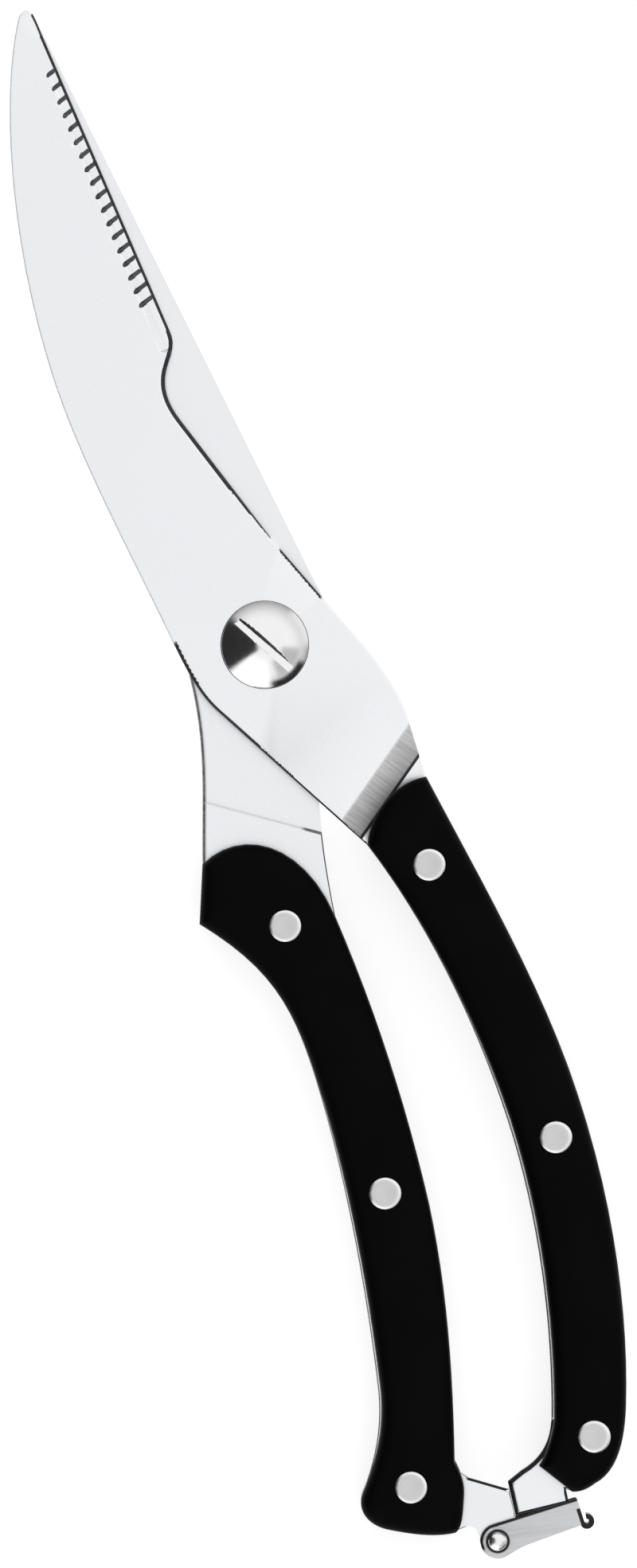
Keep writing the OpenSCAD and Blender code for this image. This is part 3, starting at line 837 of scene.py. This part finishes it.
class Blade:
    """One half of the shears: its outline, and its faces' heights from the middle plane outwards. Over the
    bevel, u runs along the cutting edge from its heel, and v runs in from it."""

    def __init__(self, stretches, tang, heel, tip, side, grooved):
        self.outline, self.labels = trace(stretches)
        self.tang_angle, self.step, self.shoulder = math.radians(tang[0]), tang[1], tang[2]
        self.tang = np.array([math.cos(self.tang_angle), math.sin(self.tang_angle)])
        self.heel, self.length = np.array(heel), math.dist(heel, tip)
        self.along = (np.array(tip) - self.heel) / self.length
        self.into = np.array([-self.along[1], self.along[0]]) * side
        self.heel_width = (tapered(self.heel + self.into * 6) - BEVEL_BASE) / BEVEL_SLOPE
        self.tip_width = (tapered(np.array(tip)) - BEVEL_BASE) / BEVEL_SLOPE
        self.grooved = grooved

    def edge_frame(self, p):
        return (p - self.heel) @ self.along, (p - self.heel) @ self.into

    def place(self, u, v):
        return self.heel + np.outer(u, self.along) + np.outer(v, self.into)

    def bevel_width(self, u):
        return self.heel_width + (self.tip_width - self.heel_width) * u / self.length

    def groove_offset(self, u, v):
        """Distance across the nearest groove from its middle."""
        at = u + v * GROOVE_LEAN - FIRST_GROOVE
        number = np.clip(np.round(at / GROOVE_PITCH), 0, GROOVE_COUNT - 1)
        return (at - number * GROOVE_PITCH) * math.cos(math.atan(GROOVE_LEAN))

    def groove_depth(self, u, v):
        if not self.grooved:
            return np.zeros(len(u))
        reach = np.sqrt(np.maximum(GROOVE_R ** 2 - self.groove_offset(u, v) ** 2, 0))
        return np.maximum(reach - (GROOVE_R - GROOVE_DEPTH), 0) / math.cos(GROOVE_TILT)

    def bevel(self, u, v):
        return BEVEL_BASE + np.maximum(v, 0) * BEVEL_SLOPE - self.groove_depth(u, v)

    def outer(self, p):
        """Height of the outer face over the middle plane, without its broken edges."""
        s = p @ self.tang - self.step
        half = SHOULDER_ROUND / 2
        ramp = np.where(s < SHOULDER_ROUND, np.maximum(s, 0) ** 2 / (4 * half), s - half)
        slope = (BLADE_OUTER - TANG_FACE) / (self.shoulder - half)
        z = np.minimum(tapered(p), np.maximum(BLADE_OUTER - ramp * slope, TANG_FACE))
        z = np.where(s > self.shoulder, TANG_FACE, z)
        u, v = self.edge_frame(p)
        bevel = self.bevel(u, v) + np.maximum(-BEVEL_RUNOUT - u, 0)
        return np.maximum(np.minimum(z, bevel), BLADE_INNER + 0.03)

    def in_groove(self, p):
        """Whether each point is on a groove's floor or its shaded wall."""
        u, v = self.edge_frame(p)
        cut = (self.groove_depth(u, v) > 0.04) & (self.groove_offset(u, v) > -0.3)
        return cut & (v > -0.1) & (self.bevel(u, v) < tapered(p))

    def inner(self, p, recess):
        s = p @ self.tang - self.step
        z = BLADE_INNER - (BLADE_INNER + TANG_FACE) * np.clip(s / (2 * STEP_WALL) + 0.5, 0, 1)
        return np.where(inside(p, recess), BLADE_INNER + RECESS_DEPTH, z)

    def guide_lines(self):
        """The bevel's upper edge with two lines beside it, the run-out's edges and each groove's end."""
        start, end = self.place([-BEVEL_RUNOUT, self.length], [self.heel_width, self.tip_width])
        edge = start + (end - start) * np.linspace(0, 1, 181)[:, None]
        rise = np.linspace(0, self.heel_width, 18)
        lines = [edge + self.into * gap for gap in (0, 0.5, 1.2)]
        lines += [self.place(np.full(18, -BEVEL_RUNOUT), rise),
                  self.place(-BEVEL_RUNOUT - (self.heel_width - rise) * BEVEL_SLOPE, rise)]
        for number in range(GROOVE_COUNT if self.grooved else 0):
            columns = FIRST_GROOVE + number * GROOVE_PITCH + GROOVE_COLUMN * np.arange(-4, 5)
            v = np.full(9, self.heel_width)
            for _ in range(4):
                u = columns - v * GROOVE_LEAN
                v = self.bevel_width(u) + self.groove_depth(u, v) / BEVEL_SLOPE
            lines.append(self.place(columns - v * GROOVE_LEAN, v))
        return lines

    def groove_grid(self):
        """Points over the bevel in columns that run along the grooves."""
        if not self.grooved:
            return np.zeros((0, 2))
        columns = FIRST_GROOVE + GROOVE_COLUMN * np.arange(-97, 438)
        v, u = (grid.ravel() for grid in np.meshgrid(np.arange(0.0, 4.4, 0.2), columns, indexing="ij"))
        u = u - v * GROOVE_LEAN
        v = np.maximum(v, 0.06)
        keep = (v < self.bevel_width(np.clip(u, 0, self.length)) + 0.6) & (u < self.length - 0.2)
        return self.place(u[keep], v[keep])


def keyed_circle(radius, half_width, reach, angle, grow=0.0, count=64):
    """A circle with a square-ended slot that runs out of it at an angle."""
    r, w, reach = radius + grow, half_width + grow, reach + grow
    spread = math.asin(w / r)
    angles = np.linspace(spread, 2 * math.pi - spread, count)
    loop = [(r * math.cos(a), r * math.sin(a)) for a in angles] + [(reach, -w), (reach, w)]
    c, s = math.cos(angle), math.sin(angle)
    return np.array([(x * c - y * s, x * s + y * c) for x, y in loop])


def broken_edge(distance, width):
    """How far the face falls towards an edge that is broken over a width."""
    width = np.maximum(width, 1e-6)
    return 0.8 * width * np.clip(1 - distance / width, 0, 1) ** 1.6


def edge_kinds(centres, outline, labels, kinds, widths):
    """Each face's material number: its stretch's own within a width of the outline, and 0 elsewhere."""
    close = nearest(centres, outline)
    found = np.array([kinds.get(labels[n], 0) for n in close])
    return np.where(distance_to(centres, outline) > widths[close], 0, found)


def blade(node, body, up, shape, steel, holes, outer_edge, outer_kinds, inner_edge, inner_kinds):
    """Both faces as height fields about the middle plane, joined by upright sides."""
    step_levels = [shape.step - STEP_WALL, shape.step + STEP_WALL]
    slope_levels = [shape.step + d for d in (0, 0.23, 0.46, SHOULDER_ROUND, shape.shoulder - WALL,
                                             shape.shoulder + WALL)]
    outline = cut_outline(resample(shape.outline, 0.5), shape.tang, step_levels + slope_levels)
    owners = by_parts(outline, lambda part: np.argmin(foot_squares(part, shape.outline), 1), int)
    labels = [shape.labels[(n + 1) % len(shape.labels)] for n in owners]
    past_step = outline @ shape.tang - shape.step
    outer_widths = np.array([outer_edge(label, q) for label, q in zip(labels, outline)])
    inner_widths = np.array([inner_edge(label, q, s) for label, q, s in zip(labels, outline, past_step)])
    recess = keyed_circle(*RECESS_SHAPE, shape.tang_angle)
    recess_walls = [keyed_circle(*RECESS_SHAPE, shape.tang_angle, grow) for grow in (-WALL, WALL)]
    wide = [(depth, outer_widths > 0.4) for depth in (0.64, 0.95)]
    outer_points, outer_triangles, outer_loops = flat_triangles(
        outline, holes, [0.07, 0.16, 0.28, 0.45], chords(outline, shape.tang, slope_levels, 0.45),
        shape.guide_lines(), shape.groove_grid(), part_rings=wide)
    inner_points, inner_triangles, inner_loops = flat_triangles(
        outline, holes, [0.1, 0.2, 0.3, 0.42, 0.8, 1.2], chords(outline, shape.tang, step_levels, 0.8),
        closed=recess_walls)

    # Outer heights under the tang's face are raised to it, so the low part of the bevel is flat.
    face = shape.outer(outer_points)
    drop = broken_edge(distance_to(outer_points, outline), outer_widths[nearest(outer_points, outline)])
    outer_z = np.where(face <= TANG_FACE + 1e-6, np.maximum(TANG_FACE - drop, 0),
                       np.maximum(face - drop, BLADE_INNER + 0.05))
    inner_z = shape.inner(inner_points, recess) + broken_edge(
        distance_to(inner_points, outline), inner_widths[nearest(inner_points, outline)])

    bm = bmesh.new()
    outer = add_points(bm, outer_points, MIDDLE + up * outer_z * MM)
    inner = add_points(bm, inner_points, MIDDLE + up * inner_z * MM)
    # Painted shade: faces near dark-edged stretches, the serrated edge's shadow line and those stretches'
    # walls take the dark edge steel.
    shade_widths = np.where([label == "cutting" and shape.grooved for label in labels], 0.45, outer_widths)
    centres = outer_points[outer_triangles].mean(1)
    kinds = edge_kinds(centres, outline, labels, outer_kinds, shade_widths)
    # Painted shade on the grooves' floors and shaded walls.
    kinds[shape.in_groove(centres) & (kinds == 0)] = 2
    for t, kind in zip(outer_triangles, kinds):
        bm.faces.new([outer[i] for i in t]).material_index = int(kind)
    kinds = edge_kinds(inner_points[inner_triangles].mean(1), outline, labels, inner_kinds, inner_widths)
    for t, kind in zip(inner_triangles, kinds):
        bm.faces.new([inner[i] for i in t[::-1]]).material_index = int(kind)
    for number, (a, b) in enumerate(zip(outer_loops, inner_loops)):
        sides = join_loops(bm, [outer[i] for i in a], [inner[i] for i in b])
        for side_face, label in zip(sides, labels if number == 0 else []):
            side_face.material_index = outer_kinds.get(label, 0)
    finishes = [steel, edge_shade_steel, groove_shade_steel, flank_shade_steel]
    add_object(node + "_ground", mesh_of(bm, node + "_ground", 24), finishes, body, node)


def rivet_bores(side):
    boxes = [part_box(f"{side}_handle_rivet_sleeve_{number}") for number in (1, 2, 3)]
    return [circle((low + high).xy / 2 / MM, RIVET_BORE_R, 40) for low, high in boxes]


def rising(value, low, high):
    """Runs from 0 to 1 as the value goes from low to high."""
    return min(max((value - low) / (high - low), 0), 1)


def serrated_edges(label, p):
    widths = {"cutting": 0.0, "notch": 0.62, "front": 0.16 + 0.5 * rising(p[1], 15.8, 27.8),
              "crossing": 0.2 + 0.32 * rising(p[1], -36, -2), "tab": 0.62, "hook": 0.45, "emerging": 0.34,
              "tip": 0.34, "spine": 0.1}
    return widths.get(label, 0.24)


def plain_edges(label, p):
    return {"cutting": 0.0, "flank": 0.34}.get(label, 0.24)


def serrated_inner_edges(label, p, past_step):
    return 0.24 if past_step > 0 else 0.0


def plain_inner_edges(label, p, past_step):
    if label == "tab":
        return 0.45
    if label == "flank" and p[1] < -1:
        return 0.4
    if label == "rear" and p[1] > 8:
        return 0.2
    return 0.22 if past_step > 0.1 else 0.0


PIVOT_BORE_R = 4.05
# Material numbers: 1 is the painted edge shade, 2 the painted groove shade and 3 the painted flank shade.
DARK_EDGES = dict.fromkeys(["notch", "front", "crossing", "cutting", "tab", "hook", "emerging", "tip"], 1)

holes = [circle((0, 0), PIVOT_BORE_R, 64)] + rivet_bores("right")
blade("serrated_blade", "right_half", 1, Blade(SERRATED, SERRATED_TANG, SERRATED_HEEL, SERRATED_TIP, 1, True),
      serrated_steel, holes, serrated_edges, DARK_EDGES, serrated_inner_edges, {"tab": 1})
holes = [keyed_circle(PIVOT_BORE_R, 1.05, 5.15, math.radians(90))] + rivet_bores("left")
blade("plain_blade", "left_half", -1, Blade(PLAIN, PLAIN_TANG, PLAIN_HEEL, PLAIN_TIP, -1, False),
      plain_steel, holes + [circle(LATCH_AXIS, 1.225, 32)], plain_edges, {}, plain_inner_edges,
      {"tab": 1, "flank": 3})


# ---- nut, washer, latch, spring and latch pin

def softened(node, body, finish, width, degrees=35, segments=2):
    """A CAD solid with its sharp edges broken."""
    bm = cad_solid(node)
    mesh = bpy.data.meshes.new("scratch")
    bm.to_mesh(mesh)
    bm.free()
    piece = bpy.data.objects.new("scratch", mesh)
    scene.collection.objects.link(piece)
    edge = piece.modifiers.new("edge", "BEVEL")
    edge.limit_method, edge.angle_limit = "ANGLE", math.radians(degrees)
    edge.width, edge.segments = width, segments
    bpy.context.view_layer.update()
    mesh = bpy.data.meshes.new_from_object(piece.evaluated_get(bpy.context.evaluated_depsgraph_get()))
    mesh.name = node + "_finished"
    bpy.data.objects.remove(piece)
    mesh.materials.clear()
    smooth(mesh, 40)
    add_object(node + "_finished", mesh, [finish], body, node)


softened("pivot_nut", "left_half", nut_steel, 0.12 * MM)
softened("pivot_washer", "left_half", washer_steel, 0.08 * MM)
softened("latch", "latch", latch_steel, 0.16 * MM, 50, 3)


def opening_spring():
    """The spring's CAD solid, closed and shaded smooth, in the place of its node."""
    bm = cad_solid("opening_spring")
    bmesh.ops.triangulate(bm, faces=[f for f in bm.faces if len(f.verts) > 4])
    mesh = mesh_of(bm, "opening_spring_wound", 50)
    mesh.materials.append(spring_steel)
    made = bpy.data.objects.new("opening_spring_wound", mesh)
    scene.collection.objects.link(made)
    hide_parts("opening_spring")
    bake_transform(made)


opening_spring()


PIN_HEAD = [(0, 0.0), (0.5, 0.03), (0.95, 0.12), (1.3, 0.28), (1.5, 0.48), (1.6, 0.72), (1.6, 0.8)]
PIN_R = 1.2


def latch_pin():
    """A pin with a domed, riveted head at each end."""
    low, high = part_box("latch_pin")
    neck = (PIN_R, PIN_HEAD[-1][1])
    profile = [(r, high.z - depth * MM) for r, depth in PIN_HEAD + [neck]]
    profile += [(r, low.z + depth * MM) for r, depth in [neck] + PIN_HEAD[::-1]]
    lathe("latch_pin_headed", profile, pin_steel, "left_half", "latch_pin")


latch_pin()


# ---- floor, light and camera

def stage_floor():
    bm = bmesh.new()
    bmesh.ops.create_grid(bm, x_segments=1, y_segments=1, size=4.0)
    mesh = bpy.data.meshes.new("floor")
    bm.to_mesh(mesh)
    bm.free()
    floor = bpy.data.objects.new("floor", mesh)
    scene.collection.objects.link(floor)
    made, g, shader = material("pale_floor")
    g.feed(shader, {"Base Color": grey(0.5), "Roughness": 0.8, "Specular IOR Level": 0.1,
                    "Emission Color": grey(1.0), "Emission Strength": 0.75})
    mesh.materials.append(made)


stage_floor()

# Cards round the studio: azimuth, half width and softness; elevations of its fades; brightness.
CARDS = [
    ((161, 38, 8), (-20, -10, 75, 83), 0.03),
    ((230, 31, 5), (-5, 5, 60, 75), 1.3),
    ((306, 30, 8), (30, 38, 58, 68), 0.6),
    ((290, 28, 6), (-5, 5, 28, 34), 0.02),
    ((8, 24, 10), (-10, 0, 22, 40), 1.0),
]
BACKDROP = 0.9


def studio_world():
    """Soft light from above, with bright and dark cards that show in the polished steel."""
    world = bpy.data.worlds.new("studio")
    scene.world = world
    world.use_nodes = True
    g = Graph(world.node_tree)
    direction = g.node("ShaderNodeTexCoord").outputs["Generated"]
    height = g.split(direction)["Z"]
    level = g.vector("NORMALIZE", g.vector("MULTIPLY", direction, (1, 1, 0))[0])[0]

    def blended(value, weight, target):
        made = g.node("ShaderNodeMix", {"data_type": "FLOAT"}, {0: weight, 2: value, 3: target})
        return made.outputs[0]

    light = g.ramp(height, math.sin(math.radians(12)), math.sin(math.radians(50)), 0.42, 1.1)
    for (azimuth, half_width, soft), elevations, brightness in CARDS:
        a, outer, inner = (math.radians(d) for d in (azimuth, half_width + soft, half_width - soft))
        sector = g.ramp(g.dot(level, (math.cos(a), math.sin(a), 0)), math.cos(outer), math.cos(inner))
        band = g.between(height, *(math.sin(math.radians(d)) for d in elevations))
        light = blended(light, g.math("MULTIPLY", sector, band), brightness)
    light = blended(light, g.node("ShaderNodeLightPath").outputs["Is Camera Ray"], BACKDROP)
    background = g.node("ShaderNodeBackground", None, {"Color": (1, 1, 1, 1), "Strength": light})
    g.node("ShaderNodeOutputWorld", None, {0: background.outputs[0]})


studio_world()

VIEW_CENTRE = Vector((0.0013, -0.0239, MIDDLE))
VIEW_HEIGHT = 0.252
VIEW_TURN = math.radians(-18)
CAMERA_DISTANCE = 2.2
SENSOR = 36

camera_data = bpy.data.cameras.new("camera")
camera_data.sensor_width = SENSOR
camera_data.lens = SENSOR * CAMERA_DISTANCE / VIEW_HEIGHT
camera_data.clip_start = 0.05
camera_data.clip_end = 20
camera = bpy.data.objects.new("camera", camera_data)
scene.collection.objects.link(camera)
camera.location = VIEW_CENTRE + Vector((0, 0, CAMERA_DISTANCE))
camera.rotation_euler = (0, 0, VIEW_TURN)
scene.camera = camera

scene.view_settings.view_transform = "Standard"
scene.view_settings.look = "None"

bpy.context.view_layer.update()
